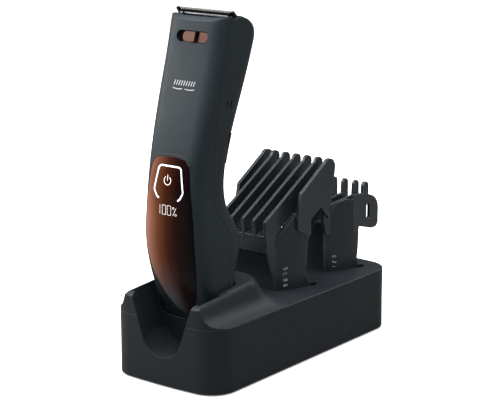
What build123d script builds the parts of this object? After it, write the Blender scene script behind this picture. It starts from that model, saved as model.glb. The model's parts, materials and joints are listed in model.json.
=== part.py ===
"""Cordless beard trimmer leaning in its charging stand, with two guide combs parked behind it.

Millimetres, +Z up. The origin is on the surface that the stand rests on, under the middle of the
whole set. The stand is long in Y, the trimmer's face looks towards -Y, and the set is mirrored
about X = 0 except for the taper slider, which rests at the +X end of its slot.
"""
import os
from math import copysign, cos, pi, sin

from build123d import *

os.makedirs("parts", exist_ok=True)

# ---- stand ---------------------------------------------------------------------------------
stand_y = -2.45          # the stand's middle; the short comb's loop reaches past its rear end
stand_width = 78
stand_end = 85.5         # half length at the corners
stand_bow = 2.2          # how far each end bows out
stand_corner = 15.6
stand_top = 38
stand_wall = 2.4
foot_gap = 0.8           # the feet hold the stand this far off the surface
base_thickness = 2.0
collar_front_top = 44.5
collar_tilt = 4.0        # degrees, the collar's rim rises to the rear
well_floor = 17.2
well_wall = 4.5          # front wall at the opening
pedestal_top = 30.95
pedestal_front = -64.0
foot_middle = -52.0       # the contacts' line, under the middle of the trimmer's foot
rim_gap = 0.9            # between the trimmer and the collar's rim
boss_spots = [(28, -52), (28, 61), (-28, -52), (-28, 61)]
foot_spots = [(27, -70), (27, 72), (-27, -70), (-27, 72)]
foot_radius = 5
foot_recess = 1.2
screw_radius, screw_head = 1.25, 2.3
vent_rows = (-8, -2, 4, 40, 46)
pin_x = 4.6
pin_radius = 1.1
flange_radius = 2.1
flange_top = 27.3
block_bottom = 19.5
board_thickness = 1.2
inlet_z = 13
inlet_width, inlet_height, inlet_depth = 9.0, 3.2, 8.0
lead_middle, lead_length = 22.5, 90

# ---- trimmer body --------------------------------------------------------------------------
shell_wall = 2.4
panel_depth = 1.4
panel_proud = 0.35
front_square, back_square = 5.5, 3.4     # how square the section's front and back corners are
ring_count = 24
# height, front, back and half width of the body's level sections, from the stand's middle
body_rings = [
    (31, -62.0, -46.7, 19.95),
    (40, -66.1, -44.7, 20.5),
    (52, -71.4, -42.1, 21.2),
    (66, -76.3, -38.4, 21.75),
    (78, -78.9, -35.4, 21.9),
    (88, -79.7, -39.5, 21.2),
    (98, -79.5, -45.9, 20.1),
    (110, -79.1, -47.7, 19.0),
    (128, -76.2, -44.7, 19.0),
    (142, -72.5, -40.5, 19.6),
    (160, -67.1, -33.4, 20.3),
    (180, -61.1, -25.2, 20.6),
    (193, -57.8, -20.2, 20.6),
    (206, -54.2, -15.0, 20.65),
]
inner_floor = 33.4
seam_gap = 0.25
cheek_inner = 18.1       # half width of the pocket that takes the blade head
cap_gap = 0.2
side_reach = 30          # half length of a cutter that runs past both sides of the trimmer

# ---- blade set -----------------------------------------------------------------------------
tip_y, tip_z = -46.6, 206.5      # line of the fixed blade's tooth tips
tooth_run, tooth_rise = 0.62, 0.785
blade_width = 40
blade_length = 17
tooth_pitch = 1.62
tooth_count = 23
tooth_gap = 0.95
tooth_depth = 3.0
moving_setback = 1.3
moving_width = 33.6      # its corners stay between the cheeks at full stroke and full set-back
moving_slots = tooth_count - 4
moving_thickness = 1.14

# ---- drive ---------------------------------------------------------------------------------
motor_y, motor_z = -54.5, 148.0
lean_run, lean_rise = 0.3256, 0.9455     # the motor's axis, leaning back with the head
motor_radius = 10.5
motor_half = 16
crank_throw = 1.3
crank_radius = 1.2

# ---- controls ------------------------------------------------------------------------------
slot_length, slot_width = 22.3, 6.3
slider_length = 18.1
slider_travel = slot_length - slider_length
carrier_length = 21.6    # clear of the shell's rounded corners at both ends of the travel
slot_y, slot_z = -57.4, 192.4
face_out_y, face_out_z = -0.958, 0.287   # the head's front face looks this way
button_gap = 0.12
halo_width = 0.95
button_z = 115
stem_radius = 1.8
board_y, board_bottom, board_height = -71.8, 78, 46
display_z, display_width, display_height = 99.5, 20, 11
groove_x = 19.55
contact_radius = 1.7
stud_radius, stud_length = 0.8, 2.0     # the solder stud on a charging contact
# depth in Y, height and fall of the rear housing screws' seats
shell_screws = [(-48.4, 116.5, -0.1), (-39.9, 66.0, -0.3)]
battery_radius, battery_length = 9.2, 65
battery_y, battery_z, battery_lean = -56.3, 46.5, -0.054

# ---- combs ---------------------------------------------------------------------------------
fin_pitch = 8
fin_thickness = 1.7
plate_x = 24             # outer face of a comb's side plates
plate_thickness = 2.0
arm_bottom = 25
seat_z = stand_top + 0.02     # the arms' shoulders rest on the platform
apron_half = 15.2         # half width of the wall that joins a comb's arms at their front
comb_step = 50.2         # the short comb's arms stand this far behind the long comb's


def level(height):
    """A level plane at the given height, with its origin on the stand's middle."""
    return Plane((0, stand_y, height))


side_view = Plane((0, stand_y, 0), x_dir=(0, 1, 0), z_dir=(1, 0, 0))
front_view = Plane((0, stand_y, 0), x_dir=(1, 0, 0), z_dir=(0, -1, 0))
blade_plane = Plane((0, stand_y + tip_y, tip_z), x_dir=(1, 0, 0), z_dir=(0, tooth_rise, tooth_run))
# in the blade plane, x runs across, y down the plate from the tooth tips, z out to the skin
blade_side = Plane(blade_plane.origin, x_dir=blade_plane.y_dir, z_dir=(1, 0, 0))
face_plane = Plane((0, stand_y + slot_y, slot_z), x_dir=(1, 0, 0), z_dir=(0, face_out_y, face_out_z))


def motor_plane(along):
    """A plane across the motor's axis, at a distance along it from the motor's middle."""
    spot = (0, stand_y + motor_y + along * lean_run, motor_z + along * lean_rise)
    return Plane(spot, x_dir=(1, 0, 0), z_dir=(0, lean_run, lean_rise))


# ---- shared outlines and bodies ------------------------------------------------------------
def stand_outline(inset):
    half, end = stand_width / 2 - inset, stand_end - inset
    with BuildSketch() as outline:
        with BuildLine():
            Line((half, -end), (half, end))
            ThreePointArc((half, end), (0, end + stand_bow), (-half, end))
            Line((-half, end), (-half, -end))
            ThreePointArc((-half, -end), (0, -end - stand_bow), (half, -end))
        make_face()
        fillet(outline.vertices(), stand_corner - inset)
    return outline.sketch


def well_outline(grow, floor):
    """The U of the front opening, seen from the front and open at its top."""
    with BuildSketch() as outline:
        with BuildLine():
            Polyline((14 + grow, 27), (22 + grow, 50.5), (22 + grow, 70), (-22 - grow, 70))
            Polyline((-22 - grow, 70), (-22 - grow, 50.5), (-14 - grow, 27))
            ThreePointArc((-14 - grow, 27), (0, floor), (14 + grow, 27))
        make_face()
    return outline.sketch


def panel_outline(grow):
    """The gloss panel seen from the front: an arched top and a long drop shape below."""
    side = [(12.2, 125), (13.7, 118), (15.0, 108), (16.2, 97), (16.9, 87), (16.8, 77)]
    side += [(15.8, 66), (13.5, 56), (10.4, 48), (5.6, 40.4)]
    right = [(x + grow, z) for x, z in side]
    left = [(-x, z) for x, z in reversed(right)]
    corner_x, corner_z = 9.6 + 0.6 * grow, 128 + 0.9 * grow
    with BuildSketch() as outline:
        with BuildLine():
            ThreePointArc((-corner_x, corner_z), (0, 128.9 + grow), (corner_x, corner_z))
            Spline((corner_x, corner_z), *right, (0, 37.2 - grow), *left, (-corner_x, corner_z))
        make_face()
    return outline.sketch


def button_outline(grow):
    with BuildSketch() as outline:
        with BuildLine():
            Polyline((-7.2, 123.4), (7.2, 123.4), (9.7, 110.4), (7.4, 106.4),
                     (-7.4, 106.4), (-9.7, 110.4), close=True)
        make_face()
        fillet(outline.vertices(), 1.8)
        if grow:
            offset(amount=grow)
    return outline.sketch


def halo_outline(outer, inner):
    """The lit line round the button, open along the button's lower edge."""
    with BuildSketch() as outline:
        add(button_outline(outer))
        add(button_outline(inner), mode=Mode.SUBTRACT)
        with Locations((0, 104)):
            Rectangle(13.2, 8, mode=Mode.SUBTRACT)
    return outline.sketch


def body_section(front, back, half):
    """A level section: a rounded oblong, squarer at its front than at its back."""
    middle, reach = (front + back) / 2, (back - front) / 2
    corners = []
    for index in range(ring_count):
        turn = 2 * pi * (index + 0.5) / ring_count
        square = front_square if sin(turn) < 0 else back_square
        x = copysign(abs(cos(turn)) ** (2 / square), cos(turn)) * half
        y = copysign(abs(sin(turn)) ** (2 / square), sin(turn)) * reach
        corners.append((x, middle + y))
    with BuildSketch() as section:
        with BuildLine():
            Spline(*corners, periodic=True)
        make_face()
    return section.sketch


def body_solid(inset):
    """The trimmer's whole outer form, every section pulled in by the given inset."""
    sections = [(height, body_section(front + inset, back - inset, half - inset))
                for height, front, back, half in body_rings]
    with BuildPart() as solid:
        for height, section in sections:
            with BuildSketch(level(height)):
                add(section)
        loft()
    return solid.part


def side_slab(points, half_width):
    """A polygon of the side view, drawn out equally to both sides."""
    with BuildPart() as slab:
        with BuildSketch(side_view):
            Polygon(*points, align=None)
        extrude(amount=half_width, both=True)
    return slab.part


def front_prism(outline):
    """An outline of the front view, drawn out through the front half of the trimmer."""
    with BuildPart() as prism:
        with BuildSketch(front_view.offset(62)):
            add(outline)
        extrude(amount=25)
    return prism.part


def head_top(rise):
    """Everything under the head's top line: the front edge, the flat and the round shoulder."""
    with BuildPart() as region:
        with BuildSketch(side_view):
            with BuildLine():
                Polyline((-15, 150), (-15, 20), (-95, 20), (-95, 150), (-57.2, 197.2 + rise))
                ThreePointArc((-57.2, 197.2 + rise), (-55.3, 201.8 + rise), (-51.0, 203.5 + rise))
                Polyline((-51.0, 203.5 + rise), (-43.5, 203.0 + rise), (-37.6, 202.4 + rise))
                ThreePointArc((-37.6, 202.4 + rise), (-30.2 + rise / 2, 197.6 + rise),
                              (-27.0 + rise / 2, 188.5))
                Polyline((-27.0 + rise / 2, 188.5), (-24.0, 172), (-15, 150))
            make_face()
        extrude(amount=side_reach, both=True)
    return region.part


outer_body = body_solid(0)
proud_body = body_solid(-panel_proud)
recess_body = body_solid(panel_depth)
inner_body = body_solid(shell_wall)

with BuildPart() as hollow:
    add(inner_body)
    split(bisect_by=Plane.XY.offset(inner_floor), keep=Keep.TOP)

with BuildPart() as housing:
    add(outer_body)
    add(hollow.part, mode=Mode.SUBTRACT)
    add(head_top(0), mode=Mode.INTERSECT)

# the seam between the shells, seen from the side, from the head down to the foot
seam = [(-47.5, 210), (-61.6, 152), (-63.6, 106), (-62.9, 99), (-58.4, 92.4),
        (-52.9, 84.6), (-52.0, 75), (-53.4, 52), (-54, 25)]
front_side = [*seam, (-95, 25), (-95, 210)]
rear_side = [(y + seam_gap, z) for y, z in seam] + [(-10, 25), (-10, 210)]

# ---- stand: shell --------------------------------------------------------------------------
outer_plan = stand_outline(0)
inner_plan = stand_outline(stand_wall)
plate_plan = stand_outline(stand_wall + 0.15)

# height, half width and rear end of the collar's sections, from the platform up to the rim
collar_rings = [
    (38.0, 38.9, -11.0),
    (39.2, 35.4, -15.5),
    (41.5, 31.6, -20.0),
    (45.0, 29.0, -23.4),
    (49.0, 27.5, -25.6),
    (51.6, 26.2, -27.2),
    (52.8, 23.4, -30.0),
]
with BuildPart() as collar:
    for height, half_width, rear in collar_rings:
        tilt = collar_tilt * (height - stand_top) / (collar_rings[-1][0] - stand_top)
        ring_plane = Plane((0, stand_y - 58, height)).rotated((tilt, 0, 0))
        with BuildSketch(ring_plane):
            with Locations((0, (rear - 100) / 2 + 58)):
                RectangleRounded(2 * half_width, rear + 100, 14)
    loft()
    with BuildSketch(side_view):
        with BuildLine():
            Line((-88.5, 30), (-88.5, collar_front_top))
            ThreePointArc((-88.5, collar_front_top), (-86.6, 48.6), (-82.4, 50.4))
            Polyline((-82.4, 50.4), (-60, 52.2), (-20, 70), (-5, 70), (-5, 30), (-88.5, 30))
        make_face()
    extrude(amount=50, both=True, mode=Mode.INTERSECT)
    with BuildSketch(level(30)):
        add(outer_plan)
    extrude(amount=40, mode=Mode.INTERSECT)


def arm_plan(front, rear, grow):
    """The curved wall of a comb's arm on the +X side, seen from above, from front to rear in Y."""
    inner = plate_thickness + grow
    with BuildSketch() as outline:
        with BuildLine():
            ThreePointArc((14.6 + grow, -2.4), (21.4 + grow, 8.6), (plate_x + grow, 21))
            Line((plate_x + grow, 21), (plate_x - inner, 21.4))
            ThreePointArc((plate_x - inner, 21.4), (21.4 - inner, 9.8), (14.6 - inner, -1.2))
            Line((14.6 - inner, -1.2), (14.6 + grow, -2.4))
        make_face()
        with Locations((20, (front + rear) / 2)):
            Rectangle(30, rear - front, mode=Mode.INTERSECT)
    return outline.sketch


def comb_sockets(step):
    """Both openings in the platform for a comb's arms, each longer than the arm behind it."""
    with BuildSketch() as outline:
        add(arm_plan(-1.5, 21.2, 0.35))
        with BuildLine():
            ThreePointArc((plate_x - 2.8, 17), (26.6, 22), (plate_x - 0.4, 27.2))
            ThreePointArc((plate_x - 0.4, 27.2), (20.6, 23), (plate_x - 2.8, 17))
        make_face()
        mirror(about=Plane.YZ)
    return outline.sketch.moved(Location((0, step, 0)))


# the opening that the trimmer's foot lifts straight out of
foot_sections = [(height, body_section(front - rim_gap, back + rim_gap, half + rim_gap))
                 for height, front, back, half in body_rings[:6]]
with BuildPart() as foot_room:
    for height, section in foot_sections:
        with BuildSketch(level(height + pedestal_top - body_rings[0][0])):
            add(section)
    loft()

with BuildPart() as stand_shell:
    with BuildSketch(level(foot_gap)):
        add(outer_plan)
    extrude(amount=stand_top - foot_gap)
    chamfer(stand_shell.faces().sort_by(Axis.Z)[-1].edges(), 0.35)
    with BuildSketch(level(foot_gap)):
        add(inner_plan)
        with Locations((0, -60)):
            Rectangle(51, 56, mode=Mode.SUBTRACT)
    extrude(amount=stand_top - foot_gap - stand_wall, mode=Mode.SUBTRACT)
    with BuildSketch(level(foot_gap)):
        with Locations((0, -60)):
            Rectangle(51, 50)
    extrude(amount=well_floor - stand_wall - foot_gap, mode=Mode.SUBTRACT)
    with BuildSketch(level(foot_gap)):
        add(inner_plan)
    extrude(amount=base_thickness, mode=Mode.SUBTRACT)
    with BuildSketch(level(foot_gap)):
        with Locations((0, foot_middle)):
            Rectangle(40, 2 * (foot_middle - pedestal_front - stand_wall))
    extrude(amount=pedestal_top - shell_wall - foot_gap, mode=Mode.SUBTRACT)
    with BuildSketch(level(foot_gap + base_thickness)):
        with Locations(*boss_spots):
            Circle(3.2)
    extrude(amount=stand_top - base_thickness - foot_gap - 1)
    add(collar.part)
    with BuildSketch(front_view.offset(95)):
        add(well_outline(0, well_floor - 0.6))
    extrude(amount=-20, mode=Mode.SUBTRACT)
    with BuildSketch(front_view.offset(stand_end + stand_bow - well_wall)):
        add(well_outline(2.6, well_floor))
    extrude(amount=-(stand_end + stand_bow - well_wall + pedestal_front), mode=Mode.SUBTRACT)

    add(foot_room.part, mode=Mode.SUBTRACT)
    for step in (0, comb_step):
        with BuildSketch(level(stand_top + 1)):
            add(comb_sockets(step))
        extrude(amount=-stand_wall - 2, mode=Mode.SUBTRACT)
    with BuildSketch(level(pedestal_top + 1)):
        with Locations((pin_x, foot_middle), (-pin_x, foot_middle)):
            Circle(pin_radius + 0.25)
    extrude(amount=-shell_wall - 3, mode=Mode.SUBTRACT)
    with BuildSketch(front_view.offset(-stand_end - stand_bow - 1)):
        with Locations((0, inlet_z)):
            RectangleRounded(inlet_width + 0.2, inlet_height + 0.2, 1.7)
    extrude(amount=stand_wall + 4, mode=Mode.SUBTRACT)
    with BuildSketch(level(foot_gap)):
        with Locations(*boss_spots):
            Circle(screw_radius)
    extrude(amount=14, mode=Mode.SUBTRACT)
stand_shell.part.label = "stand_shell"
export_step(stand_shell.part, "parts/stand_shell.step")

# ---- stand: base, feet and screws ----------------------------------------------------------
with BuildPart() as base_plate:
    with BuildSketch(level(foot_gap)):
        add(plate_plan)
    extrude(amount=base_thickness - 0.05)
    with BuildSketch(level(foot_gap)):
        with Locations(*foot_spots):
            Circle(foot_radius + 0.1)
    extrude(amount=foot_recess, mode=Mode.SUBTRACT)
    with BuildSketch(level(foot_gap)):
        with Locations(*boss_spots):
            Circle(screw_radius + 0.2)
    extrude(amount=base_thickness, mode=Mode.SUBTRACT)
    with BuildSketch(level(foot_gap)):
        with Locations(*boss_spots):
            Circle(screw_head + 0.2)
    extrude(amount=1.2, mode=Mode.SUBTRACT)
    for y in vent_rows:
        with BuildSketch(level(foot_gap)):
            with Locations((0, y)):
                SlotOverall(26, 2)
        extrude(amount=base_thickness, mode=Mode.SUBTRACT)
base_plate.part.label = "base_plate"
export_step(base_plate.part, "parts/base_plate.step")

with BuildPart() as rubber_feet:
    with BuildSketch(level(0)):
        with Locations(*foot_spots):
            Circle(foot_radius)
    extrude(amount=foot_gap + foot_recess)
    chamfer(rubber_feet.faces().group_by(Axis.Z)[0].edges(), 0.4)
rubber_feet.part.label = "rubber_feet"
export_step(rubber_feet.part, "parts/rubber_feet.step")

with BuildPart() as base_screws:
    with BuildSketch(level(foot_gap + 0.1)):
        with Locations(*boss_spots):
            Circle(screw_head)
    extrude(amount=1.1)
    with BuildSketch(level(foot_gap + 1.2)):
        with Locations(*boss_spots):
            Circle(screw_radius - 0.05)
    extrude(amount=11)
    with BuildSketch(level(foot_gap + 0.1)):
        with Locations(*boss_spots):
            Rectangle(2.6, 0.5)
            Rectangle(0.5, 2.6)
    extrude(amount=0.6, mode=Mode.SUBTRACT)
base_screws.part.label = "base_screws"
export_step(base_screws.part, "parts/base_screws.step")

# ---- stand: charging pins, board and inlet -------------------------------------------------
with BuildPart() as pin_block:
    with BuildSketch(level(block_bottom)):
        with Locations((0, foot_middle)):
            RectangleRounded(20, 9, 1)
    extrude(amount=pedestal_top - shell_wall - block_bottom)
    with BuildSketch(level(block_bottom)):
        with Locations((pin_x, foot_middle), (-pin_x, foot_middle)):
            Circle(flange_radius + 0.15)
    extrude(amount=flange_top - block_bottom, mode=Mode.SUBTRACT)
    with BuildSketch(level(block_bottom)):
        with Locations((pin_x, foot_middle), (-pin_x, foot_middle)):
            Circle(pin_radius + 0.05)
    extrude(amount=20, mode=Mode.SUBTRACT)
pin_block.part.label = "pin_block"
export_step(pin_block.part, "parts/pin_block.step")


def charge_pin(x):
    with BuildPart() as pin:
        with BuildSketch(level(block_bottom + 2.2)):
            with Locations((x, foot_middle)):
                Circle(pin_radius)
        extrude(amount=body_rings[0][0] - block_bottom - 2.2)
        fillet(pin.faces().sort_by(Axis.Z)[-1].edges(), 0.5)
        with BuildSketch(level(flange_top - 1.25)):
            with Locations((x, foot_middle)):
                Circle(flange_radius)
        extrude(amount=1.2)
    return pin


def pin_spring(x):
    wire = 0.22
    coil = flange_radius - 2 * wire
    height = flange_top - 1.25 - block_bottom - 2 * wire - 0.1
    with BuildPart() as spring:
        with BuildLine(Plane((x, stand_y + foot_middle, block_bottom + wire + 0.05))) as path:
            Helix(pitch=height / 5, height=height, radius=coil)
        with BuildSketch(Plane(path.line @ 0, z_dir=path.line % 0)):
            Circle(wire)
        sweep(is_frenet=True)
    return spring


charge_pin_left, charge_pin_right = charge_pin(-pin_x), charge_pin(pin_x)
charge_pin_left.part.label = "charge_pin_left"
export_step(charge_pin_left.part, "parts/charge_pin_left.step")
charge_pin_right.part.label = "charge_pin_right"
export_step(charge_pin_right.part, "parts/charge_pin_right.step")
pin_spring_left, pin_spring_right = pin_spring(-pin_x), pin_spring(pin_x)
pin_spring_left.part.label = "pin_spring_left"
export_step(pin_spring_left.part, "parts/pin_spring_left.step")
pin_spring_right.part.label = "pin_spring_right"
export_step(pin_spring_right.part, "parts/pin_spring_right.step")

with BuildPart() as stand_board:
    with BuildSketch(level(block_bottom - board_thickness)):
        with Locations((0, foot_middle)):
            Rectangle(34, 18)
    extrude(amount=board_thickness)
    with BuildSketch(level(block_bottom - board_thickness)):
        with Locations((-11, foot_middle), (11, foot_middle)):
            Rectangle(5, 6)
    extrude(amount=-1.6)
stand_board.part.label = "stand_board"
export_step(stand_board.part, "parts/stand_board.step")

with BuildPart() as usb_inlet:
    with BuildSketch(front_view.offset(-stand_end - stand_bow + 0.3)):
        with Locations((0, inlet_z)):
            RectangleRounded(inlet_width, inlet_height, 1.5)
    extrude(amount=inlet_depth)
    with BuildSketch(front_view.offset(-stand_end - stand_bow + 0.3)):
        with Locations((0, inlet_z)):
            RectangleRounded(inlet_width - 0.7, inlet_height - 0.7, 1.2)
            Rectangle(inlet_width - 2.4, 0.7, mode=Mode.SUBTRACT)
    extrude(amount=inlet_depth - 1.5, mode=Mode.SUBTRACT)
usb_inlet.part.label = "usb_inlet"
export_step(usb_inlet.part, "parts/usb_inlet.step")

with BuildPart() as inlet_board:
    with BuildSketch(level(inlet_z - inlet_height / 2 - board_thickness)):
        with Locations((0, stand_end + stand_bow - 10)):
            Rectangle(20, 12)
    extrude(amount=board_thickness)
inlet_board.part.label = "inlet_board"
export_step(inlet_board.part, "parts/inlet_board.step")

with BuildPart() as inlet_leads:
    with BuildSketch(level(inlet_z - inlet_height / 2 - board_thickness - 1.3)):
        with Locations((-3, lead_middle), (3, lead_middle)):
            Rectangle(1.3, lead_length)
    extrude(amount=1.3)
inlet_leads.part.label = "inlet_leads"
export_step(inlet_leads.part, "parts/inlet_leads.step")

# ---- trimmer: shells -----------------------------------------------------------------------
with BuildPart() as panel_room:
    add(front_prism(panel_outline(0.1)))
    add(recess_body, mode=Mode.SUBTRACT)

with BuildPart() as brow:
    add(proud_body)
    add(recess_body, mode=Mode.SUBTRACT)
    with BuildSketch(front_view.offset(62)):
        add(panel_outline(1.5))
        with Locations((0, 144)):
            Rectangle(60, 38, mode=Mode.INTERSECT)
    extrude(amount=25, mode=Mode.INTERSECT)

with BuildPart() as front_shell:
    add(housing.part)
    add(side_slab(front_side, side_reach), mode=Mode.INTERSECT)
    add(brow.part)
    add(panel_room.part, mode=Mode.SUBTRACT)
    with BuildSketch(face_plane.offset(3)):
        SlotOverall(slot_length, slot_width)
    extrude(amount=-8, mode=Mode.SUBTRACT)
    with BuildSketch(front_view.offset(62)):
        with Locations((0, button_z)):
            Circle(stem_radius + 0.4)
        with Locations((0, display_z)):
            Rectangle(display_width - 2, display_height - 2)
    extrude(amount=25, mode=Mode.SUBTRACT)
front_shell.part.label = "front_shell"
export_step(front_shell.part, "parts/front_shell.step")

with BuildPart() as inlay_room:
    with BuildSketch(side_view):
        Polygon((-50.6, 123), (-49.3, 140.6), (-20, 134.6), (-20, 123), align=None)
    extrude(amount=side_reach, both=True)
    add(recess_body, mode=Mode.SUBTRACT)

with BuildPart() as rear_shell:
    add(housing.part)
    add(side_slab(rear_side, side_reach), mode=Mode.INTERSECT)
    add(side_slab([(-44, 210), (-10, 210), (-10, 183.4), (-33, 177.6), (-44, 177.6)], cheek_inner),
        mode=Mode.SUBTRACT)
    with BuildSketch(blade_side):
        Polygon((-1, -2.3), (4.9, -2.3), (4.9, 6), (-1, 6), align=None)
    extrude(amount=side_reach, both=True, mode=Mode.SUBTRACT)
    add(inlay_room.part, mode=Mode.SUBTRACT)
    with BuildSketch(side_view.offset(groove_x)):
        for y in (-54.3, -51.2):
            Polygon((y, 153.2), (y + 1.3, 153.2), (y + 2.9, 158.2), (y + 1.6, 158.2), align=None)
    extrude(amount=3, mode=Mode.SUBTRACT)
    with BuildSketch(side_view.offset(-groove_x)):
        for y in (-54.3, -51.2):
            Polygon((y, 153.2), (y + 1.3, 153.2), (y + 2.9, 158.2), (y + 1.6, 158.2), align=None)
    extrude(amount=-3, mode=Mode.SUBTRACT)
    with BuildSketch(level(body_rings[0][0] - 1)):
        with Locations((pin_x, foot_middle), (-pin_x, foot_middle)):
            Circle(contact_radius + 0.05)
    extrude(amount=6, mode=Mode.SUBTRACT)
    for y, z, slope in shell_screws:
        with BuildSketch(Plane((0, stand_y + y, z), x_dir=(1, 0, 0), z_dir=(0, 1, slope))):
            Circle(screw_head + 0.2)
        extrude(amount=8, mode=Mode.SUBTRACT)
        with BuildSketch(Plane((0, stand_y + y, z), x_dir=(1, 0, 0), z_dir=(0, 1, slope))):
            Circle(screw_radius + 0.1)
        extrude(amount=-3, mode=Mode.SUBTRACT)
rear_shell.part.label = "rear_shell"
export_step(rear_shell.part, "parts/rear_shell.step")

with BuildPart() as rear_inlay:
    add(proud_body)
    add(recess_body, mode=Mode.SUBTRACT)
    with BuildSketch(side_view):
        Polygon((-50.3, 123.15), (-49.1, 140.3), (-20, 134.4), (-20, 123.15), align=None)
    extrude(amount=side_reach, both=True, mode=Mode.INTERSECT)
rear_inlay.part.label = "rear_inlay"
export_step(rear_inlay.part, "parts/rear_inlay.step")

with BuildPart() as shell_screws_group:
    for y, z, slope in shell_screws:
        seat = Plane((0, stand_y + y, z), x_dir=(1, 0, 0), z_dir=(0, 1, slope))
        with BuildSketch(seat):
            Circle(screw_head)
        extrude(amount=1.2)
        with BuildSketch(seat):
            Circle(screw_radius)
        extrude(amount=-7)
        with BuildSketch(seat.offset(1.2)):
            Rectangle(2.6, 0.5)
            Rectangle(0.5, 2.6)
        extrude(amount=-0.6, mode=Mode.SUBTRACT)
shell_screws_group.part.label = "housing_screws"
export_step(shell_screws_group.part, "parts/housing_screws.step")

# ---- trimmer: gloss panel, light guide, button and display ---------------------------------
with BuildPart() as front_panel:
    add(proud_body)
    add(recess_body, mode=Mode.SUBTRACT)
    with BuildSketch(front_view.offset(62)):
        add(panel_outline(0))
        add(halo_outline(halo_width, 0.05), mode=Mode.SUBTRACT)
        add(button_outline(button_gap), mode=Mode.SUBTRACT)
    extrude(amount=25, mode=Mode.INTERSECT)
front_panel.part.label = "front_panel"
export_step(front_panel.part, "parts/front_panel.step")

with BuildPart() as light_guide:
    add(proud_body)
    add(recess_body, mode=Mode.SUBTRACT)
    with BuildSketch(front_view.offset(62)):
        add(halo_outline(halo_width - 0.03, button_gap))
    extrude(amount=25, mode=Mode.INTERSECT)
light_guide.part.label = "light_guide"
export_step(light_guide.part, "parts/light_guide.step")

button_back = -78.5 + panel_depth - 0.7
with BuildPart() as power_button:
    add(proud_body)
    add(recess_body.moved(Location((0, -0.7, 0))), mode=Mode.SUBTRACT)
    with BuildSketch(front_view.offset(62)):
        add(button_outline(0))
    extrude(amount=25, mode=Mode.INTERSECT)
    with BuildSketch(front_view.offset(-button_back + 0.4)):
        with Locations((0, button_z)):
            Circle(stem_radius)
    extrude(amount=-1.5)
power_button.part.label = "power_button"
export_step(power_button.part, "parts/power_button.step")

board_front = board_y - board_thickness / 2
with BuildPart() as main_board:
    with BuildSketch(level(board_bottom)):
        with Locations((0, board_y)):
            Rectangle(27, board_thickness)
    extrude(amount=board_height)
    with BuildSketch(level(104)):
        with Locations((-8, board_y + 1.7), (7, board_y + 1.7)):
            Rectangle(6, 2.2)
    extrude(amount=7)
main_board.part.label = "main_board"
export_step(main_board.part, "parts/main_board.step")

with BuildPart() as display_module:
    with BuildSketch(front_view.offset(-board_front)):
        with Locations((0, display_z)):
            Rectangle(display_width, display_height)
    extrude(amount=3.8)
display_module.part.label = "display_module"
export_step(display_module.part, "parts/display_module.step")

with BuildPart() as power_switch:
    with BuildSketch(front_view.offset(-board_front)):
        with Locations((0, button_z)):
            RectangleRounded(6, 6, 0.6)
    extrude(amount=2.6)
    with BuildSketch(front_view.offset(-board_front + 2.6)):
        with Locations((0, button_z)):
            Circle(1.5)
    extrude(amount=1.15)
power_switch.part.label = "power_switch"
export_step(power_switch.part, "parts/power_switch.step")

# ---- trimmer: taper slider -----------------------------------------------------------------
slider_x = slider_travel / 2
with BuildPart() as taper_slider:
    with BuildSketch(face_plane.offset(-shell_wall - 0.15)):
        with Locations((slider_x, 0)):
            SlotOverall(slider_length - 0.2, slot_width - 0.3)
    extrude(amount=shell_wall + 0.5)
    fillet(taper_slider.faces().filter_by(face_plane).sort_by(Axis.Z)[-1].edges(), 0.3)
    with BuildSketch(face_plane):
        with Locations((slider_x - 0.7, 0)):
            Rectangle(2.2, slot_width - 0.9)
    extrude(amount=1.5)
    with BuildSketch(face_plane.offset(1)):
        with Locations((slider_x + 1.6, 0)):
            Rectangle(2.2, slot_width)
    extrude(amount=-2, mode=Mode.SUBTRACT)
taper_slider.part.label = "taper_slider"
export_step(taper_slider.part, "parts/taper_slider.step")

with BuildPart() as slider_carrier:
    with BuildSketch(face_plane.offset(-shell_wall - 0.15)):
        with Locations((slider_x, 0)):
            RectangleRounded(carrier_length, slot_width + 3, 2)
    extrude(amount=-1.2)
    with BuildSketch(face_plane.offset(-shell_wall - 1.35)):
        with Locations((slider_x, 1.5)):
            Rectangle(4, 3)
    extrude(amount=-4)
slider_carrier.part.label = "slider_carrier"
export_step(slider_carrier.part, "parts/slider_carrier.step")

# ---- trimmer: blade set --------------------------------------------------------------------


def tooth_slots(count, first, depth):
    """Slots between a blade's teeth, open at the tips."""
    with BuildSketch() as slots:
        with Locations((0, first + depth / 2)):
            with GridLocations(tooth_pitch, 1, count, 1):
                Rectangle(tooth_gap, depth)
                with Locations((0, depth / 2)):
                    Circle(tooth_gap / 2)
    return slots.sketch


with BuildPart() as fixed_blade:
    with BuildSketch(blade_side):
        Polygon((0, 0), (0, 0.35), (3.2, 0.7), (6, 1.75), (blade_length, 1.75),
                (blade_length, 0), align=None)
    extrude(amount=blade_width / 2, both=True)
    with BuildSketch(blade_plane.offset(-1)):
        with Locations((17.5, 10.6), (-17.5, 10.6)):
            Rectangle(6, 13.4)
    extrude(amount=4, mode=Mode.SUBTRACT)
    with BuildSketch(blade_plane.offset(-1)):
        add(tooth_slots(tooth_count, -1, tooth_depth + 1))
    extrude(amount=4, mode=Mode.SUBTRACT)
    with BuildSketch(blade_plane):
        with Locations((19.4, 1.6), (-19.4, 1.6)):
            RectangleRounded(1.2, 4.0, 0.5)
    extrude(amount=-1.2)
    with BuildSketch(blade_plane.offset(-1)):
        with Locations((9, 13.5), (-9, 13.5)):
            Circle(1.2)
    extrude(amount=4, mode=Mode.SUBTRACT)
fixed_blade.part.label = "fixed_blade"
export_step(fixed_blade.part, "parts/fixed_blade.step")

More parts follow.
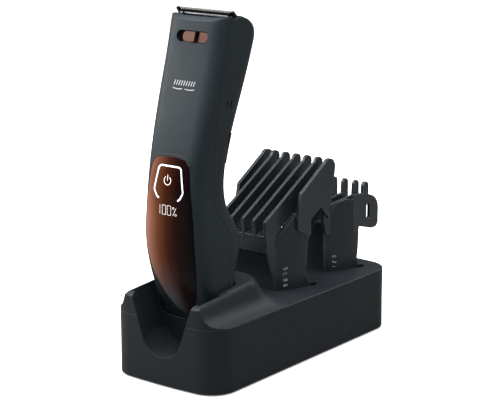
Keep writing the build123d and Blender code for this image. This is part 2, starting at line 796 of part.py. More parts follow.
with BuildPart() as moving_blade:
    with BuildSketch(blade_plane.offset(-0.06)):
        with Locations((0, (moving_setback + 4.6) / 2)):
            Rectangle(moving_width, 4.6 - moving_setback)
        with Locations((0, 7)):
            Rectangle(31, 5)
    extrude(amount=-moving_thickness)
    with BuildSketch(blade_plane):
        add(tooth_slots(moving_slots, moving_setback - 1, 2.6))
    extrude(amount=-3, mode=Mode.SUBTRACT)
moving_blade.part.label = "moving_blade"
export_step(moving_blade.part, "parts/moving_blade.step")

with BuildPart() as blade_screws:
    with BuildSketch(blade_plane):
        with Locations((9, 13.5), (-9, 13.5)):
            Circle(1.9)
    extrude(amount=-1)
    with BuildSketch(blade_plane):
        with Locations((9, 13.5), (-9, 13.5)):
            Circle(1.15)
    extrude(amount=3.5)
blade_screws.part.label = "blade_screws"
export_step(blade_screws.part, "parts/blade_screws.step")

with BuildPart() as blade_cap:
    add(outer_body)
    add(head_top(0.7), mode=Mode.INTERSECT)
    add(side_slab([(-43.9, 206.05), (-34, 193.52), (-34, 178.2), (-10, 184.2), (-10, 210)],
                  cheek_inner - cap_gap), mode=Mode.INTERSECT)
    add(side_slab([(-32.4, 170), (-32.4, 194.6), (-34.4, 197.2), (-33.0, 197.2), (-30.9, 194.2),
                   (-29.6, 188.2), (-27.4, 170)], 15.5), mode=Mode.SUBTRACT)
    with BuildSketch(blade_plane):
        with Locations((9, 13.5), (-9, 13.5)):
            Circle(1.2)
    extrude(amount=6, mode=Mode.SUBTRACT)
    with BuildSketch(side_view):
        for step in range(5):
            height = 186.6 + 2.2 * step
            Polygon((-15, height), (-15, height + 0.8), (-28.6, height + 0.8), (-28.6, height),
                    align=None)
    extrude(amount=9, both=True, mode=Mode.SUBTRACT)
blade_cap.part.label = "blade_cap"
export_step(blade_cap.part, "parts/blade_cap.step")

with BuildPart() as blade_carriage:
    with BuildSketch(blade_plane.offset(-1.5)):
        with Locations((0, 6.7)):
            RectangleRounded(27, 4.4, 1)
        with Locations((0, 6.7)):
            Rectangle(9, 2, mode=Mode.SUBTRACT)
    extrude(amount=-1.5)
blade_carriage.part.label = "blade_carriage"
export_step(blade_carriage.part, "parts/blade_carriage.step")

with BuildPart() as tension_spring:
    with BuildSketch(blade_plane.offset(-1.24)):
        with Locations((-9, 6.7), (9, 6.7)):
            SlotOverall(6, 1.6)
    extrude(amount=-0.26)
tension_spring.part.label = "tension_spring"
export_step(tension_spring.part, "parts/tension_spring.step")

# ---- trimmer: motor and drive --------------------------------------------------------------
with BuildPart() as motor_can:
    with BuildSketch(motor_plane(-motor_half)):
        Circle(motor_radius)
    extrude(amount=2 * motor_half)
    fillet(motor_can.edges().filter_by(GeomType.CIRCLE), 1)
    with BuildSketch(motor_plane(motor_half)):
        Circle(3.2)
    extrude(amount=1.6)
    with BuildSketch(motor_plane(-motor_half)):
        Circle(2.6)
    extrude(amount=-1.6)
    with BuildSketch(motor_plane(motor_half + 2)):
        Circle(1.05)
    extrude(amount=-9, mode=Mode.SUBTRACT)
motor_can.part.label = "motor_can"
export_step(motor_can.part, "parts/motor_can.step")

with BuildPart() as crank_shaft:
    with BuildSketch(motor_plane(motor_half - 6)):
        Circle(1.0)
    extrude(amount=13)
    with BuildSketch(motor_plane(motor_half + 3)):
        Circle(4.5)
    extrude(amount=4)
    with BuildSketch(motor_plane(motor_half + 7)):
        with Locations((crank_throw, 0)):
            Circle(crank_radius)
    extrude(amount=5)
crank_shaft.part.label = "crank_shaft"
export_step(crank_shaft.part, "parts/crank_shaft.step")

with BuildPart() as drive_yoke:
    with BuildSketch(motor_plane(motor_half + 8)):
        RectangleRounded(13, 12.4, 2)
        RectangleRounded(8.4, 8.4, 1, mode=Mode.SUBTRACT)
    extrude(amount=4.2)
    with BuildSketch(side_view):
        Polygon((-42.2, 172.2), (-40.4, 169.6), (-39.7, 196.4), (-40.76, 199.0), (-41.65, 198.3),
                (-42.4, 197.0), align=None)
    extrude(amount=3, both=True)
drive_yoke.part.label = "drive_yoke"
export_step(drive_yoke.part, "parts/drive_yoke.step")

with BuildPart() as motor_cradle:
    with BuildSketch(motor_plane(-35)):
        with Locations((0, 1.1)):
            RectangleRounded(26, 9.8, 2)
    extrude(amount=5.5)
    with BuildSketch(motor_plane(-33)):
        with Locations((11.6, 0), (-11.6, 0)):
            Rectangle(1.6, 8)
    extrude(amount=22)
    with BuildSketch(motor_plane(-14)):
        Circle(12.4)
    extrude(amount=9)
    with BuildSketch(motor_plane(-20)):
        Circle(motor_radius + 0.05)
    extrude(amount=40, mode=Mode.SUBTRACT)
    screw_y, screw_z, fall = shell_screws[0]
    seat = Plane((0, stand_y + screw_y, screw_z), x_dir=(1, 0, 0), z_dir=(0, 1, fall))
    with BuildSketch(seat.offset(-1.1)):
        Circle(3)
    extrude(amount=-12)
    with BuildSketch(seat):
        Circle(screw_radius + 0.02)
    extrude(amount=-9, mode=Mode.SUBTRACT)
motor_cradle.part.label = "motor_cradle"
export_step(motor_cradle.part, "parts/motor_cradle.step")

# ---- trimmer: battery and contacts ---------------------------------------------------------
battery_base = Plane((0, stand_y + battery_y, battery_z), x_dir=(1, 0, 0), z_dir=(0, battery_lean, 1))
with BuildPart() as battery_cell:
    with BuildSketch(battery_base):
        Circle(battery_radius)
    extrude(amount=battery_length)
    fillet(battery_cell.edges().filter_by(GeomType.CIRCLE), 0.8)
battery_cell.part.label = "battery_cell"
export_step(battery_cell.part, "parts/battery_cell.step")

with BuildPart() as battery_cradle:
    with BuildSketch(battery_base.offset(6)):
        Circle(battery_radius + 1.2)
        Circle(battery_radius + 0.05, mode=Mode.SUBTRACT)
        with Locations((0, -4)):
            Rectangle(30, 16, mode=Mode.SUBTRACT)
    extrude(amount=38)
    screw_y, screw_z, fall = shell_screws[1]
    seat = Plane((0, stand_y + screw_y, screw_z), x_dir=(1, 0, 0), z_dir=(0, 1, fall))
    with BuildSketch(seat.offset(-1.2)):
        Circle(3)
        Circle(screw_radius + 0.02, mode=Mode.SUBTRACT)
    extrude(amount=-5.6)
battery_cradle.part.label = "battery_cradle"
export_step(battery_cradle.part, "parts/battery_cradle.step")

with BuildPart() as charge_contacts:
    with BuildSketch(level(body_rings[0][0])):
        with Locations((pin_x, foot_middle), (-pin_x, foot_middle)):
            Circle(contact_radius)
    extrude(amount=inner_floor + 0.02 - body_rings[0][0])
    with BuildSketch(level(inner_floor + 0.02)):
        with Locations((pin_x, foot_middle), (-pin_x, foot_middle)):
            Circle(stud_radius)
    extrude(amount=stud_length)
charge_contacts.part.label = "charge_contacts"
export_step(charge_contacts.part, "parts/charge_contacts.step")

# ---- combs ---------------------------------------------------------------------------------
def comb_body(step, fin, side, bars, arm_line):
    """One moulded comb: inner fins, two side plates, cross bars with half lengths, and two arms.

    Outlines are in the side view; step moves the whole comb back along the stand.
    """
    with BuildPart() as comb:
        inner_places = [(i * fin_pitch, 0) for i in range(-2, 3)]
        for x, _ in inner_places:
            with BuildSketch(side_view.offset(x - fin_thickness / 2)):
                add(fin)
            extrude(amount=fin_thickness)
        for x in (plate_x - plate_thickness, -plate_x):
            with BuildSketch(side_view.offset(x)):
                add(side)
            extrude(amount=plate_thickness)
        for half_length, bar in bars:
            with BuildSketch(side_view):
                Polygon(*bar, align=None)
            extrude(amount=half_length, both=True)
    with BuildSketch() as plan:
        add(arm_plan(-3, 21.2, 0))
        mirror(about=Plane.YZ)
    with BuildPart() as arms:
        with BuildSketch(level(arm_bottom)):
            add(plan.sketch.moved(Location((0, step, 0))))
        extrude(amount=65)
        with BuildSketch(side_view):
            Polygon(*arm_line, align=None)
        extrude(amount=40, both=True, mode=Mode.INTERSECT)
    with BuildPart() as whole:
        add(comb.part)
        add(arms.part)
    return whole


with BuildSketch() as long_fin:
    with BuildLine():
        Line((-13.8, 82), (34.6, 109.2))
        ThreePointArc((34.6, 109.2), (39.6, 111.6), (42.4, 107.4))
        Polyline((42.4, 107.4), (38, 92), (26, 84), (4, 78), (-4, 72), (-7, 62), (-11.5, 62),
                 (-13.3, 74.5), (-13.8, 82))
    make_face()
with BuildSketch() as long_side:
    with BuildLine():
        Line((11.6, 95.2), (34.6, 109.2))
        ThreePointArc((34.6, 109.2), (40.6, 111.4), (45.4, 106))
        Polyline((45.4, 106), (44, 96.4), (39.3, 74.9), (31.2, 83.6), (21.2, 78.3), (20.0, 68),
                 (8.5, 74), (8.5, 80), (11.6, 95.2))
    make_face()
comb_long = comb_body(
    0, long_fin.sketch, long_side.sketch,
    bars=[(16.8, [(-12.4, 63), (-7.5, 63), (-4.4, 72), (-6.0, 74), (-12.8, 73)]),
          (apron_half, [(-12.4, 66), (-4.4, 71), (-0.8, 60), (-0.8, seat_z), (-3, seat_z),
                        (-4.6, 46), (-8.4, 56)]),
          (plate_x - 0.5, [(24, 84.6), (24.6, 82.6), (36.6, 90.4), (36, 92)])],
    arm_line=[(-3, seat_z), (-1, seat_z), (-1, arm_bottom), (14, arm_bottom), (14, seat_z), (21, seat_z),
              (19, 41), (16.9, 45.6), (17.3, 55.4), (18.4, 66), (21.5, 70), (21.5, 79),
              (9.5, 83.5), (-3.6, 67.6)])
comb_long.part.label = "comb_long"
export_step(comb_long.part, "parts/comb_long.step")

with BuildSketch() as short_fin:
    with BuildLine():
        Line((44, 79.2), (75.4, 81.8))
        Line((75.4, 81.8), (75.8, 87.4))
        ThreePointArc((75.8, 87.4), (79, 90.4), (81.4, 87.4))
        Polyline((81.4, 87.4), (81.4, 78), (66, 70), (54, 66), (52, 62), (47, 62), (44, 70),
                 (44, 79.2))
    make_face()
with BuildSketch() as short_side:
    with BuildLine():
        Line((70.4, 60), (66, 60))
        Line((66, 60), (66, 84.4))
        Spline((66, 84.4), (72.8, 83.9), (83.8, 81.4), (88.6, 79), (91.6, 75.4), (92.5, 70),
               tangents=((1, 0), (0, -1)))
        Line((92.5, 70), (92.5, 64))
        ThreePointArc((92.5, 64), (91.6, 61), (88.6, 59.7))
        Polyline((88.6, 59.7), (85.3, 59.8), (71.7, 63.5), (70.4, 60))
    make_face()
    with BuildLine():
        Polyline((81.4, 78), (75.2, 78), (75.8, 87.4))
        ThreePointArc((75.8, 87.4), (79, 90.4), (81.4, 87.4))
        Line((81.4, 87.4), (81.4, 78))
    make_face()
    with Locations((81.4, 71.4)):
        SlotOverall(10, 3.8, rotation=90, mode=Mode.SUBTRACT)
comb_short = comb_body(
    comb_step, short_fin.sketch, short_side.sketch,
    bars=[(16.8, [(46.5, 62.5), (51.6, 62.5), (53.6, 66.8), (51, 69.5), (46, 69)]),
          (apron_half, [(46.2, 66), (51.6, 66), (50, 58), (49.4, seat_z), (47.2, seat_z),
                        (46.5, 50)]),
          (plate_x - 0.5, [(66, 72.4), (67, 70.8), (79.6, 77.4), (79, 79)])],
    arm_line=[(comb_step - 3, seat_z), (comb_step - 1, seat_z), (comb_step - 1, arm_bottom),
              (comb_step + 14, arm_bottom), (comb_step + 14, seat_z), (comb_step + 21, seat_z),
              (69.9, 44), (70.8, 50.8), (71.3, 61.5), (71.4, 80), (61.5, 82.5), (54.6, 81.2),
              (47.2, 69.2)])
comb_short.part.label = "comb_short"
export_step(comb_short.part, "parts/comb_short.step")
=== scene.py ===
"""Looks for the cordless beard trimmer in its charging stand with two guide combs.

Metres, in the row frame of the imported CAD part: +Z up, the trimmer faces -Y.
"""

import json
import math

import bmesh
import bpy
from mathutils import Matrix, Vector
from mathutils.bvhtree import BVHTree


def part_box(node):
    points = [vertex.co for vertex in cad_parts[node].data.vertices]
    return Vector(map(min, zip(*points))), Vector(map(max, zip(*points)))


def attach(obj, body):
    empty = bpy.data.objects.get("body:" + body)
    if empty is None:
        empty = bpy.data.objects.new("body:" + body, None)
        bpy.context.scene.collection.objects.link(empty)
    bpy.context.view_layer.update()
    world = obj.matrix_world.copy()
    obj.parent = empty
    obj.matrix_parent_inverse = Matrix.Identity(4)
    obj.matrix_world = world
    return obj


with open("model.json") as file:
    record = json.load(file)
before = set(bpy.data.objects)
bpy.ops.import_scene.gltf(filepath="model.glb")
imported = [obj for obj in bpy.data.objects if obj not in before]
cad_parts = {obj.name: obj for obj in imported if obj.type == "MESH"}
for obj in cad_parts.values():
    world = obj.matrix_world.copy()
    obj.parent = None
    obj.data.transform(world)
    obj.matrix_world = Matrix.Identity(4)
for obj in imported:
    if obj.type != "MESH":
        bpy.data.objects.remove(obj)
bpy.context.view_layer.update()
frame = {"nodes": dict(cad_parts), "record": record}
nodes = frame["nodes"]
MM = 0.001
CAMERA_AZIMUTH, CAMERA_ELEVATION = 37.573, 14.07     # degrees; azimuth 0 looks along +Y
CAMERA_DISTANCE, CAMERA_LENS = 0.95993, 117.66       # metres from the point aimed at, and mm
CAMERA_SHIFT = (-0.0141, 0.0339)


# ---- materials ------------------------------------------------------------------------------
def new_material(name):
    """A material whose node tree holds a Principled shader, its output and object coordinates."""
    material = bpy.data.materials.new(name)
    material.use_nodes = True
    tree = material.node_tree
    shader = tree.nodes["Principled BSDF"]
    coords = tree.nodes.new("ShaderNodeTexCoord")
    return material, tree, shader, coords


def noise(tree, coords, scale, detail=4.0, stretch=(1, 1, 1)):
    """Noise in object space, scale features per metre; a stretch below 1 draws it out along that axis."""
    mapping = tree.nodes.new("ShaderNodeMapping")
    mapping.inputs["Scale"].default_value = stretch
    tree.links.new(coords.outputs["Object"], mapping.inputs["Vector"])
    node = tree.nodes.new("ShaderNodeTexNoise")
    node.inputs["Scale"].default_value = scale
    node.inputs["Detail"].default_value = detail
    tree.links.new(mapping.outputs["Vector"], node.inputs["Vector"])
    return node.outputs["Fac"]


def remap(tree, value, low, high, start=0.3, end=0.7):
    """A value between start and end turned into one between low and high."""
    node = tree.nodes.new("ShaderNodeMapRange")
    node.inputs["From Min"].default_value = start
    node.inputs["From Max"].default_value = end
    node.inputs["To Min"].default_value = low
    node.inputs["To Max"].default_value = high
    tree.links.new(value, node.inputs["Value"])
    return node.outputs["Result"]


def ramp(tree, value, stops):
    """A colour ramp from (position, colour) stops."""
    node = tree.nodes.new("ShaderNodeValToRGB")
    elements = node.color_ramp.elements
    while len(elements) < len(stops):
        elements.new(0.5)
    for element, (position, colour) in zip(elements, stops):
        element.position = position
        element.color = (*colour, 1)
    tree.links.new(value, node.inputs["Fac"])
    return node.outputs["Color"]


def mix(tree, factor, first, second):
    """Two colours mixed; each may be a socket or a plain colour."""
    node = tree.nodes.new("ShaderNodeMix")
    node.data_type = "RGBA"
    for name, value in (("Factor", factor), ("A", first), ("B", second)):
        sockets = [s for s in node.inputs if s.name == name]
        socket = sockets[0] if name == "Factor" else [s for s in sockets if s.type == "RGBA"][0]
        if isinstance(value, bpy.types.NodeSocket):
            tree.links.new(value, socket)
        else:
            socket.default_value = (*value, 1) if name != "Factor" else value
    return [s for s in node.outputs if s.type == "RGBA"][0]


def bump(tree, shader, height, strength, distance, rounding=None):
    """Bump from a height, over edges rounded by the given radius."""
    node = tree.nodes.new("ShaderNodeBump")
    node.inputs["Strength"].default_value = strength
    node.inputs["Distance"].default_value = distance
    tree.links.new(height, node.inputs["Height"])
    if rounding:
        edge = tree.nodes.new("ShaderNodeBevel")
        edge.samples = 4
        edge.inputs["Radius"].default_value = rounding
        tree.links.new(edge.outputs["Normal"], node.inputs["Normal"])
    tree.links.new(node.outputs["Normal"], shader.inputs["Normal"])


def edge_mask(tree, radius):
    """About 1 on edges and 0 on flat faces, from how far the rounded normal leaves the true one."""
    edge = tree.nodes.new("ShaderNodeBevel")
    edge.samples = 4
    edge.inputs["Radius"].default_value = radius
    geometry = tree.nodes.new("ShaderNodeNewGeometry")
    product = tree.nodes.new("ShaderNodeVectorMath")
    product.operation = "DOT_PRODUCT"
    tree.links.new(edge.outputs["Normal"], product.inputs[0])
    tree.links.new(geometry.outputs["Normal"], product.inputs[1])
    return remap(tree, product.outputs["Value"], 1, 0, 0.9, 0.995)


def plastic(name, colour, tint, rough, grain=3500, bump_size=0.00004, rounding=0.0003,
            wear_and_highlight=None, shine=0.3):
    """Moulded plastic: fine grain, a slow drift of tone and gloss, and lighter edges that are partly rubbed
    wear and partly painted highlight.
    """
    material, tree, shader, coords = new_material(name)
    slow = noise(tree, coords, 28, 3)
    fine = noise(tree, coords, grain, 2)
    base = mix(tree, remap(tree, slow, 0, 1), colour, tint)
    # lighter edges: partly rubbed wear, partly painted highlight on rims and fin edges
    if wear_and_highlight:
        base = mix(tree, edge_mask(tree, rounding * 1.6), base, wear_and_highlight)
    tree.links.new(base, shader.inputs["Base Color"])
    tree.links.new(remap(tree, noise(tree, coords, 160, 5), rough - 0.05, rough + 0.05),
                   shader.inputs["Roughness"])
    shader.inputs["Specular IOR Level"].default_value = shine
    bump(tree, shader, fine, 0.35, bump_size, rounding)
    return material


def metal(name, colour, rough, stretch=(1, 1, 1), scale=2500, depth=0.00003, rounding=0.0001,
          dark_from=None):
    """Metal with grinding marks along the axis whose stretch is least, with painted shade of backlit teeth
    above a height if given.
    """
    material, tree, shader, coords = new_material(name)
    marks = noise(tree, coords, scale, 3, stretch)
    slow = noise(tree, coords, 90, 4)
    dark = tuple(0.72 * c for c in colour)
    base = mix(tree, remap(tree, slow, 0, 1), dark, colour)
    if dark_from:
        split = tree.nodes.new("ShaderNodeSeparateXYZ")
        tree.links.new(coords.outputs["Object"], split.inputs["Vector"])
        shaded_teeth = remap(tree, split.outputs["Z"], 0, 1, dark_from, dark_from + TOOTH_BLEND)
        # painted shade: the teeth darkened as if backlit
        base = mix(tree, shaded_teeth, base, TOOTH_BACKLIT_SHADE)
    tree.links.new(base, shader.inputs["Base Color"])
    tree.links.new(remap(tree, marks, rough - 0.08, rough + 0.1), shader.inputs["Roughness"])
    shader.inputs["Metallic"].default_value = 1
    bump(tree, shader, marks, 0.4, depth, rounding)
    return material


def glow(name, colour, strength):
    """A lit part with a little mottling, as light through a diffuser."""
    material, tree, shader, coords = new_material(name)
    cloud = remap(tree, noise(tree, coords, 700, 2), 0.85 * strength, 1.1 * strength)
    shader.inputs["Base Color"].default_value = (*colour, 1)
    shader.inputs["Emission Color"].default_value = (*colour, 1)
    tree.links.new(cloud, shader.inputs["Emission Strength"])
    shader.inputs["Roughness"].default_value = 0.3
    return material


def print_ink(name, colour):
    """Pad-printed ink, slightly uneven."""
    material, tree, shader, coords = new_material(name)
    dim = tuple(0.8 * c for c in colour)
    tree.links.new(mix(tree, remap(tree, noise(tree, coords, 1500), 0, 1), dim, colour),
                   shader.inputs["Base Color"])
    shader.inputs["Roughness"].default_value = 0.55
    return material


def gloss_panel(name):
    """Lacquered panel: copper brown at the -X side fading to black, partly its copper tone and partly
    painted reflection, greyer at the lower tip.
    """
    material, tree, shader, coords = new_material(name)
    split = tree.nodes.new("ShaderNodeSeparateXYZ")
    tree.links.new(coords.outputs["Object"], split.inputs["Vector"])
    cloud = remap(tree, noise(tree, coords, 35, 3), -0.0009, 0.0009)
    shift = tree.nodes.new("ShaderNodeMath")
    shift.operation = "ADD"
    tree.links.new(split.outputs["X"], shift.inputs[0])
    tree.links.new(cloud, shift.inputs[1])
    across = remap(tree, shift.outputs["Value"], 0, 1, -PANEL_HALF, PANEL_HALF)
    # painted reflection: the copper-to-black sweep across X stands in for the key light's reflection, over
    # the lacquer's own copper tone
    brown = ramp(tree, across, PANEL_COPPER_AND_REFLECTION_STOPS)
    fade = remap(tree, split.outputs["Z"], 1, 0, *TIP_FADE)
    cool = ramp(tree, across, TIP_STOPS)
    tree.links.new(mix(tree, fade, brown, cool), shader.inputs["Base Color"])
    tree.links.new(remap(tree, noise(tree, coords, 120), 0.16, 0.22), shader.inputs["Roughness"])
    shader.inputs["Specular IOR Level"].default_value = 0.06
    shader.inputs["Coat Weight"].default_value = 0.03
    shader.inputs["Coat Roughness"].default_value = 0.06
    bump(tree, shader, noise(tree, coords, 60, 2), 0.05, 0.0002, 0.0003)
    return material


PANEL_HALF = 0.0175            # half width that the panel's colours run across
TIP_FADE = (0.043, 0.068)      # heights between which the grey tip turns to brown
# panel stops: partly the lacquer's copper tone, partly painted reflection, bright at -X and black at +X
PANEL_COPPER_AND_REFLECTION_STOPS = [(0.0, (0.42, 0.20, 0.145)), (0.10, (0.33, 0.135, 0.085)), (0.26, (0.155, 0.05, 0.022)),
               (0.46, (0.050, 0.012, 0.003)), (0.66, (0.012, 0.003, 0.002)), (1.0, (0.002, 0.002, 0.003))]
TIP_STOPS = [(0.0, (0.16, 0.15, 0.155)), (0.35, (0.10, 0.10, 0.115)), (0.6, (0.02, 0.012, 0.012)),
             (1.0, (0.002, 0.002, 0.003))]
SLATE, SLATE_TINT = (0.0165, 0.0235, 0.029), (0.020, 0.028, 0.034)
# painted shade colour of the backlit blade teeth
TOOTH_BACKLIT_SHADE = (0.020, 0.019, 0.017)
TOOTH_REACH = 0.0018           # the moving blade carries painted shade, as of backlit teeth, from this far below its highest point up
TOOTH_BLEND = 0.0003           # height over which it turns dark
FLOOR_BOUNCE = (0.22, 0.22, 0.22)     # the floor's colour for every ray but the camera's own
WORLD_BOUNCE = 0.22            # the world's strength for every ray but the camera's own
FLOOR_FADE = (0.12, 0.75)      # distances between which the floor brightens to full white
FLOOR_NEAR = 0.25              # the floor's own light under the object, as the camera sees it
STAND, STAND_TINT = (0.0115, 0.0155, 0.0195), (0.014, 0.0185, 0.023)
BLACK, BLACK_TINT = (0.005, 0.0056, 0.0062), (0.007, 0.008, 0.0088)

looks = {
    # each wear colour below lightens edges: partly rubbed wear, partly painted highlight
    "housing": plastic("soft_touch_slate", SLATE, SLATE_TINT, 0.47, wear_and_highlight=(0.030, 0.035, 0.039),
                       shine=0.22),
    "stand_plastic": plastic("stand_black", STAND, STAND_TINT, 0.5, wear_and_highlight=(0.034, 0.039, 0.044),
                             shine=0.24),
    "base_plastic": plastic("base_black", BLACK, BLACK_TINT, 0.6),
    "rubber": plastic("foot_rubber", (0.010, 0.010, 0.010), (0.016, 0.016, 0.016), 0.85, 900, 0.0001),
    "black_nylon": plastic("black_nylon", (0.012, 0.012, 0.013), (0.018, 0.018, 0.019), 0.55, 1800),
    "comb_plastic": plastic("comb_black", (0.016, 0.021, 0.026), (0.020, 0.026, 0.032), 0.30, 2600,
                            0.00003, 0.00035, wear_and_highlight=(0.12, 0.135, 0.145), shine=0.4),
    "board": plastic("board_green", (0.006, 0.055, 0.028), (0.010, 0.075, 0.038), 0.35),
    "lead_sleeve": plastic("lead_red", (0.22, 0.012, 0.010), (0.28, 0.02, 0.016), 0.4),
    "cell_wrap": plastic("cell_wrap", (0.02, 0.07, 0.24), (0.03, 0.09, 0.30), 0.3, 400),
    "steel": metal("steel", (0.52, 0.53, 0.54), 0.32),
    "gold": metal("gold_flash", (0.83, 0.60, 0.28), 0.25),
    "copper": metal("copper_finish", (0.115, 0.062, 0.048), 0.46, (0.3, 1, 1), 5200, 0.00002, 0.00025),
    "motor_steel": metal("motor_steel", (0.42, 0.43, 0.44), 0.38, (1, 1, 0.1)),
    "blade_steel": metal("blade_steel", (0.74, 0.76, 0.80), 0.24, (0.06, 1, 1), 9000,
                         dark_from=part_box("moving_blade")[1][2] - TOOTH_REACH),
    # painted shade: the fixed blade's steel coloured dark, as its teeth are backlit
    "blade_dark": metal("blade_dark", (0.06, 0.058, 0.05), 0.34, (0.06, 1, 1), 9000),
    "gloss_panel": gloss_panel("gloss_panel"),
    "light": glow("led_light", (0.80, 0.90, 1.0), 1.5),
    "display": plastic("display_window", (0.004, 0.004, 0.005), (0.006, 0.006, 0.007), 0.1),
}
for part in frame["record"]["subparts"]:
    mesh = nodes[part["node"]].data
    mesh.materials.clear()
    mesh.materials.append(looks[part["material_slot"]])


# ---- helpers for new pieces -----------------------------------------------------------------
def piece(name, mesh, body, material):
    """Makes an object of a mesh, rides it on a body and gives it its finish."""
    made = bpy.data.objects.new(name, mesh)
    bpy.context.scene.collection.objects.link(made)
    made.data.materials.append(material)
    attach(made, body)
    return made


def surface(*names):
    """A tree for finding points on the named CAD nodes' surfaces."""
    trees = []
    for name in names:
        mesh = bmesh.new()
        mesh.from_mesh(nodes[name].data)
        trees.append(BVHTree.FromBMesh(mesh))
        mesh.free()
    return trees


def landing(trees, start, direction):
    """The nearest point where a ray meets any of the surfaces, with its outward normal."""
    hits = [tree.ray_cast(start, direction) for tree in trees]
    hits = [hit for hit in hits if hit[0] is not None]
    if not hits:
        return None
    place, normal, _, _ = min(hits, key=lambda hit: hit[3])
    return place, (normal if normal.dot(direction) < 0 else -normal)


def laid_on(name, outlines, to_ray, trees, body, material, lift=0.00008):
    """Flat outlines (lists of points in mm) laid on a surface as a thin raised skin."""
    mesh = bmesh.new()
    for outline in outlines:
        top, under = [], []
        for point in outline:
            start, direction = to_ray(*point)
            found = landing(trees, start, direction)
            if found is None:
                break
            place, normal = found
            top.append(mesh.verts.new(place + normal * lift))
            under.append(mesh.verts.new(place - normal * lift))
        if len(top) < len(outline):
            continue
        mesh.faces.new(top)
        mesh.faces.new(list(reversed(under)))
        for index in range(len(top)):
            after = (index + 1) % len(top)
            mesh.faces.new((top[index], under[index], under[after], top[after]))
    bmesh.ops.recalc_face_normals(mesh, faces=mesh.faces)
    data = bpy.data.meshes.new(name)
    mesh.to_mesh(data)
    mesh.free()
    return piece(name, data, body, material)


def from_front(x, z):
    """The ray that lands at (x, z) mm on a face that looks towards -Y."""
    return Vector((x * MM, -0.2, z * MM)), Vector((0, 1, 0))


def from_side(y, z):
    """The ray that lands at (y, z) mm on a face that looks towards +X."""
    return Vector((0.1, y * MM, z * MM)), Vector((-1, 0, 0))


def stroke(points, width):
    """Quads of a given width along a line of points, joined at mitred corners."""
    sides = []
    for index, (x, z) in enumerate(points):
        before = points[max(index - 1, 0)]
        after = points[min(index + 1, len(points) - 1)]
        along = Vector((after[0] - before[0], after[1] - before[1])).normalized()
        across = Vector((-along.y, along.x)) * width / 2
        sides.append(((x + across.x, z + across.y), (x - across.x, z - across.y)))
    return [[sides[i][0], sides[i][1], sides[i + 1][1], sides[i + 1][0]] for i in range(len(sides) - 1)]


def arc(x, z, radius, start, end, count):
    """Points along an arc round (x, z), from one angle to another in degrees."""
    turns = [math.radians(start + (end - start) * i / count) for i in range(count + 1)]
    return [(x + radius * math.cos(t), z + radius * math.sin(t)) for t in turns]


# ---- display figures, power sign, plain mark and comb numbers --------------------------------
SEGMENTS = {"0": "abcdef", "1": "bc", "2": "abged", "3": "abgcd", "4": "fgbc", "5": "afgcd",
            "6": "afgedc", "7": "abc", "8": "abcdefg", "9": "abcdfg"}


def figure(sign, x, z, width, height, line):
    """A seven-segment figure with its lower left corner at (x, z)."""
    gap = 0.12 * line
    right, top, middle = x + width, z + height, z + height / 2
    ends = {"a": ((x, top), (right, top)), "b": ((right, top), (right, middle)),
            "c": ((right, middle), (right, z)), "d": ((x, z), (right, z)),
            "e": ((x, middle), (x, z)), "f": ((x, top), (x, middle)), "g": ((x, middle), (right, middle))}
    shapes = []
    for segment in SEGMENTS[sign]:
        (x1, z1), (x2, z2) = ends[segment]
        along = Vector((x2 - x1, z2 - z1)).normalized()
        first = Vector((x1, z1)) + along * (gap + line / 2)
        last = Vector((x2, z2)) - along * (gap + line / 2)
        across = Vector((-along.y, along.x)) * line / 2
        point = along * line / 2
        shapes.append([first - point, first + across, last + across, last + point, last - across,
                       first - across])
    return shapes


def sideways(sign, y, z, height, width, line):
    """A figure that reads upwards, its feet towards +Y, with its corner at (y, z)."""
    return [[(y - across, z + along) for along, across in shape]
            for shape in figure(sign, 0, 0, width, height, line)]


front = surface("front_panel", "power_button", "front_shell")
figures_light = glow("figures_light", (1.0, 0.93, 0.90), 0.65)
figures_z, figure_width, figure_height = 97.0, 2.5, 5.2
segment_line, percent_line, percent_ring = 0.22, 0.2, 0.55
digits = []
for sign, x in (("1", -8.3), ("0", -4.1), ("0", -0.5)):
    digits += figure(sign, x, figures_z, figure_width, figure_height, segment_line)
digits += stroke([(3.4, figures_z), (5.7, figures_z + 4.4)], percent_line)
for x, z in ((3.7, 101.2), (5.5, 97.6)):
    digits += stroke(arc(x, z, percent_ring, 0, 360, 12), percent_line)
laid_on("display_figures", digits, from_front, front, "trimmer", figures_light)

power_light = glow("power_sign_light", (1.0, 0.90, 0.86), 0.95)
power_x, power_z, power_ring, power_line = -0.9, 116.0, 2.35, 0.34
power_shapes = stroke(arc(power_x, power_z, power_ring, 125, 415, 28), power_line)
power_shapes += stroke([(power_x, 115.9), (power_x, 119.2)], power_line)
laid_on("power_sign", power_shapes, from_front, front, "button", power_light)

ink = print_ink("print_white", (0.62, 0.64, 0.66))
dash_line, bar_line, bar_pitch, bar_slant = 0.42, 0.5, 1.7, 0.35
mark = stroke([(-7.6, 164.9), (-4.0, 164.5), (-0.9, 164.8)], dash_line)
mark += stroke([(0.9, 164.8), (4.0, 164.5), (7.6, 164.9)], dash_line)
for index in range(-4, 5):
    x = bar_pitch * index
    mark += stroke([(x - bar_slant, 166.6), (x + bar_slant, 169.2)], bar_line)
laid_on("plain_mark", mark, from_front, front, "trimmer", ink)

number_pitch, number_height, number_width, number_line = 3.4, 1.9, 1.1, 0.3
for comb, numbers, first_y, first_z in (("comb_long", "9875", 1.6, 40.2), ("comb_short", "123", 51.6, 40.0)):
    shapes = []
    for index, number in enumerate(numbers):
        shapes += sideways(number, first_y, first_z + number_pitch * index, number_height, number_width,
                           number_line)
    laid_on(comb + "_numbers", shapes, from_side, surface(comb), comb, ink)


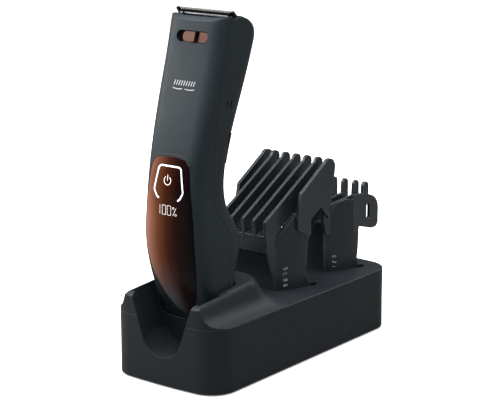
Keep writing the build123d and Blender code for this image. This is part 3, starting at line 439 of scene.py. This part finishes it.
# ---- floor, lights and camera -----------------------------------------------------------------
floor_mesh = bpy.data.meshes.new("floor")
edge = 6.0          # from the middle of the floor to each side
floor_mesh.from_pydata([(-edge, -edge, 0), (edge, -edge, 0), (edge, edge, 0), (-edge, edge, 0)], [],
                       [(0, 1, 2, 3)])
floor = bpy.data.objects.new("floor", floor_mesh)
bpy.context.scene.collection.objects.link(floor)
floor_look, floor_tree, floor_shader, floor_coords = new_material("floor_pale")
seen = floor_tree.nodes.new("ShaderNodeLightPath")
pale = mix(floor_tree, remap(floor_tree, noise(floor_tree, floor_coords, 3), 0, 1),
           (0.93, 0.93, 0.93), (0.95, 0.95, 0.95))
floor_tree.links.new(mix(floor_tree, seen.outputs["Is Camera Ray"], FLOOR_BOUNCE, pale),
                     floor_shader.inputs["Base Color"])
radius = floor_tree.nodes.new("ShaderNodeVectorMath")
radius.operation = "LENGTH"
floor_tree.links.new(floor_coords.outputs["Object"], radius.inputs[0])
shine = floor_tree.nodes.new("ShaderNodeMath")
shine.operation = "MULTIPLY"
floor_tree.links.new(remap(floor_tree, radius.outputs["Value"], FLOOR_NEAR, 1.0, *FLOOR_FADE),
                     shine.inputs[0])
floor_tree.links.new(seen.outputs["Is Camera Ray"], shine.inputs[1])
floor_tree.links.new(shine.outputs["Value"], floor_shader.inputs["Emission Strength"])
floor_shader.inputs["Emission Color"].default_value = (1, 1, 1, 1)
floor_shader.inputs["Roughness"].default_value = 0.9
floor_shader.inputs["Specular IOR Level"].default_value = 0.1
floor.data.materials.append(floor_look)

aim = Vector((0, -0.00245, 0.080))     # the point that the lights and the camera aim at


def look_from(thing, azimuth, elevation, distance):
    """Places a light or camera round the object, in degrees and metres, and turns it to the aim."""
    a, e = math.radians(azimuth), math.radians(elevation)
    out = Vector((math.sin(a) * math.cos(e), -math.cos(a) * math.cos(e), math.sin(e)))
    thing.location = aim + out * distance
    thing.rotation_mode = "QUATERNION"
    thing.rotation_quaternion = (-out).to_track_quat("-Z", "Y")
    bpy.context.scene.collection.objects.link(thing)


def softbox(name, azimuth, elevation, distance, size, power):
    """A rectangular light; size is its width and height in metres."""
    data = bpy.data.lights.new(name, "AREA")
    data.shape = "RECTANGLE"
    data.size, data.size_y = size
    data.energy = power
    look_from(bpy.data.objects.new(name, data), azimuth, elevation, distance)


softbox("key", -58, 32, 0.9, (0.6, 0.8), 9.5)
softbox("fill", 88, 24, 1.1, (0.4, 0.9), 0.5)
softbox("top", 20, 82, 0.9, (1.0, 1.0), 16)
softbox("back", 165, 35, 1.0, (0.7, 0.4), 3)

world = bpy.data.worlds.new("studio")
bpy.context.scene.world = world
world.use_nodes = True
backdrop = world.node_tree.nodes["Background"]
backdrop.inputs["Color"].default_value = (1, 1, 1, 1)
path = world.node_tree.nodes.new("ShaderNodeLightPath")
world.node_tree.links.new(remap(world.node_tree, path.outputs["Is Camera Ray"], WORLD_BOUNCE, 1.0, 0, 1),
                          backdrop.inputs["Strength"])

camera_data = bpy.data.cameras.new("camera")
camera = bpy.data.objects.new("camera", camera_data)
look_from(camera, CAMERA_AZIMUTH, CAMERA_ELEVATION, CAMERA_DISTANCE)
camera_data.sensor_width = 36
camera_data.lens = CAMERA_LENS
camera_data.shift_x, camera_data.shift_y = CAMERA_SHIFT
bpy.context.scene.camera = camera
bpy.context.scene.view_settings.view_transform = "Standard"
